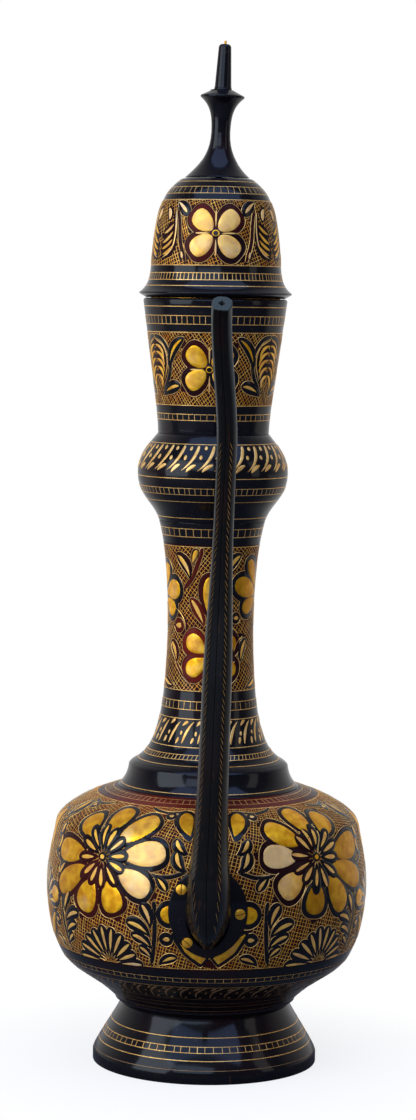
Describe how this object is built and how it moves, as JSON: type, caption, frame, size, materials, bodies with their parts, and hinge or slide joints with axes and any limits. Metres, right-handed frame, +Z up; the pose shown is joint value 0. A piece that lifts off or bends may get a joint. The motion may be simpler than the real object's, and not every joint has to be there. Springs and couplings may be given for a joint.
{
  "type": "surahi ewer",
  "caption": "Tall engraved brass surahi ewer with a flared foot, round belly, slender neck with a knop, conical cup, domed lift-off lid with finial, cast spout and handle.",
  "frame": {"origin": "on the vessel's turned axis at the plane of the foot's flat ring", "axes": "+Z up along the turned axis, -Y towards the spout, +Y towards the handle"},
  "size_m": [0.1612, 0.2285, 0.5118],
  "materials": {
    "black_lacquer": "glossy blue-black lacquer over brass",
    "engraved_brass": "brass engraved with flowers and bands on a black lacquer ground",
    "bare_brass": "bare turned brass"
  },
  "bodies": {
    "vessel": {"foot": "black_lacquer", "belly_lower": "black_lacquer", "belly_upper": "engraved_brass", "shoulder_collar": "black_lacquer", "neck_column": "engraved_brass", "neck_knop": "black_lacquer", "neck_cup": "engraved_brass", "spout_left": "black_lacquer", "spout_right": "black_lacquer", "spout_plate": "black_lacquer", "spout_screws": "bare_brass", "handle_bar": "black_lacquer", "handle_lower_plate": "black_lacquer", "handle_lower_screws": "bare_brass", "handle_upper_plate": "black_lacquer", "handle_upper_screws": "bare_brass"},
    "lid": {"lid_dome": "engraved_brass", "lid_sleeve": "bare_brass", "finial_stem": "black_lacquer", "finial_peg": "black_lacquer", "finial_rod": "bare_brass", "finial_washer": "bare_brass", "finial_nut": "bare_brass"}
  },
  "joints": [
    {"name": "lid_lift", "type": "slide", "parent": "vessel", "child": "lid", "axis": [0, 0, 1], "range_m": [0, 0.08]}
  ]
}
